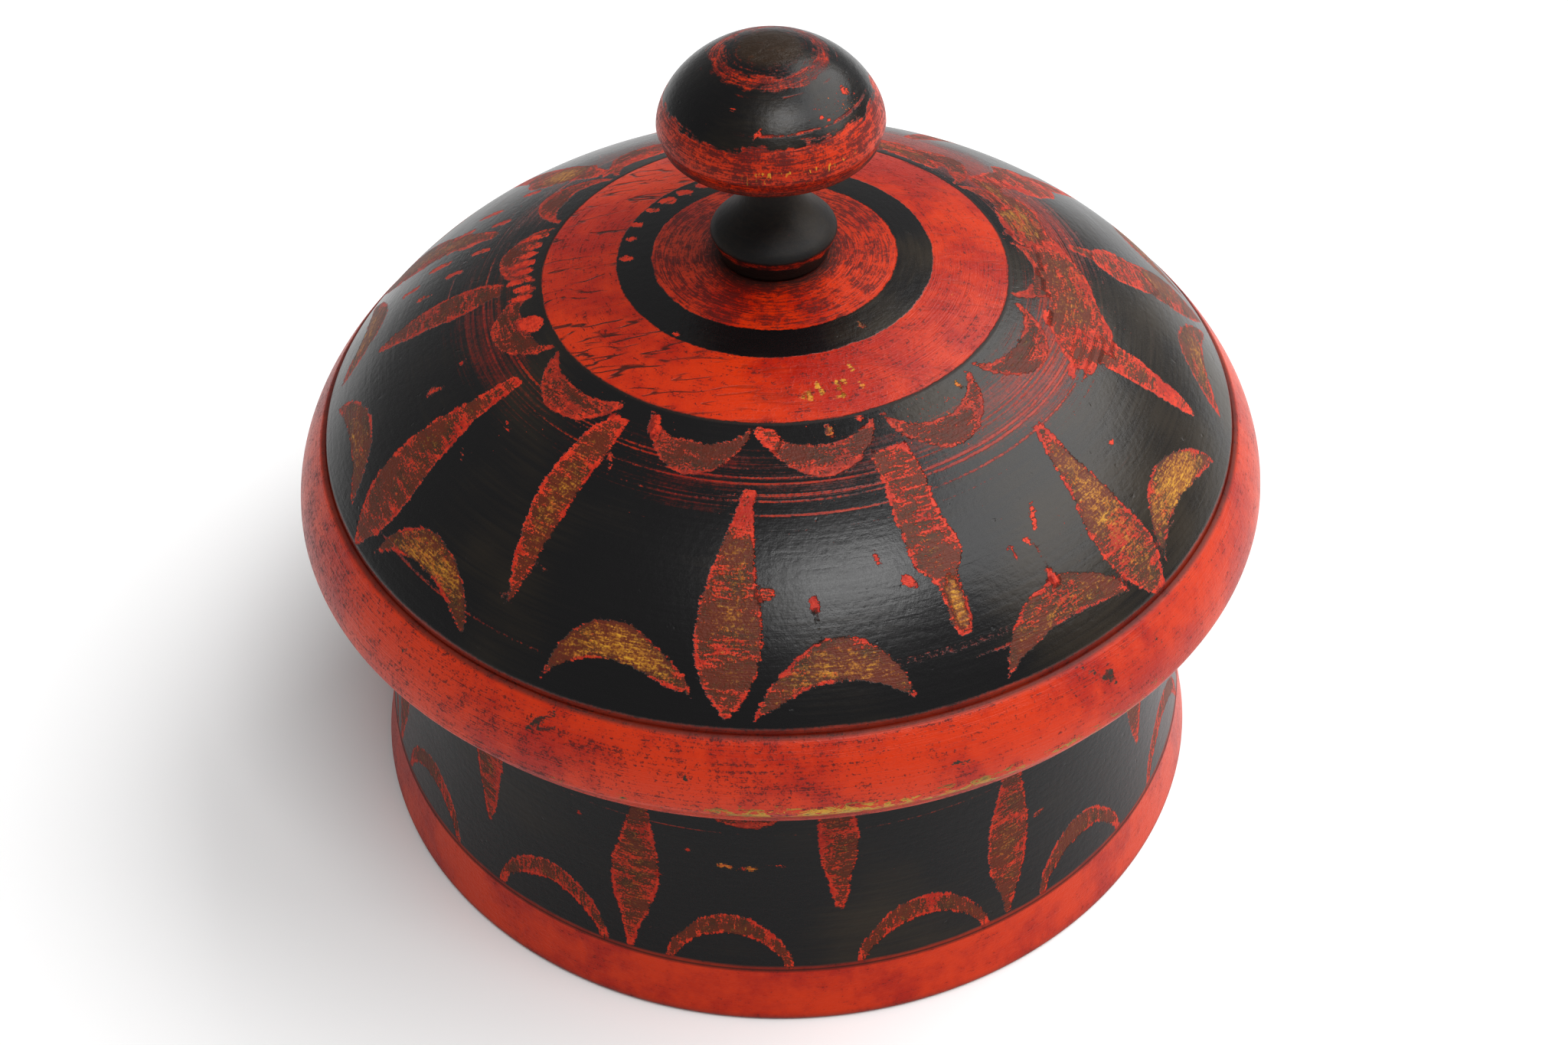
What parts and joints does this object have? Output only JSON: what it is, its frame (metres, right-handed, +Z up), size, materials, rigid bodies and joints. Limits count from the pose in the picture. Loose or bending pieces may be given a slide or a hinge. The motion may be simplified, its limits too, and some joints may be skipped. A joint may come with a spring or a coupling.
{
  "type": "lidded bowl",
  "caption": "Round turned wooden bowl with a waisted wall, an overhanging domed lid and a mushroom knob on a bell-shaped stem.",
  "frame": {"origin": "centre of the foot, on the surface that the bowl stands on", "axes": "+Z up along the turning axis; the side with the front petal faces -Y and the wood grain of the lid runs along X"},
  "size_m": [0.1802, 0.1802, 0.1553],
  "materials": {
    "bowl_lacquer": "satin black lac over red and yellow lac on turned wood, scraped through in petals, with a red base band",
    "lid_lacquer": "satin red and black lac over yellow lac on turned wood, scraped through in petals and worn",
    "knob_lacquer": "satin red and black lac on turned wood, worn by handling"
  },
  "bodies": {
    "bowl": {"bowl": "bowl_lacquer"},
    "lid": {"lid": "lid_lacquer", "knob": "knob_lacquer"}
  },
  "joints": [
    {"name": "lid_lift", "type": "slide", "parent": "bowl", "child": "lid", "axis": [0, 0, 1], "range_m": [0, 0.12]}
  ]
}
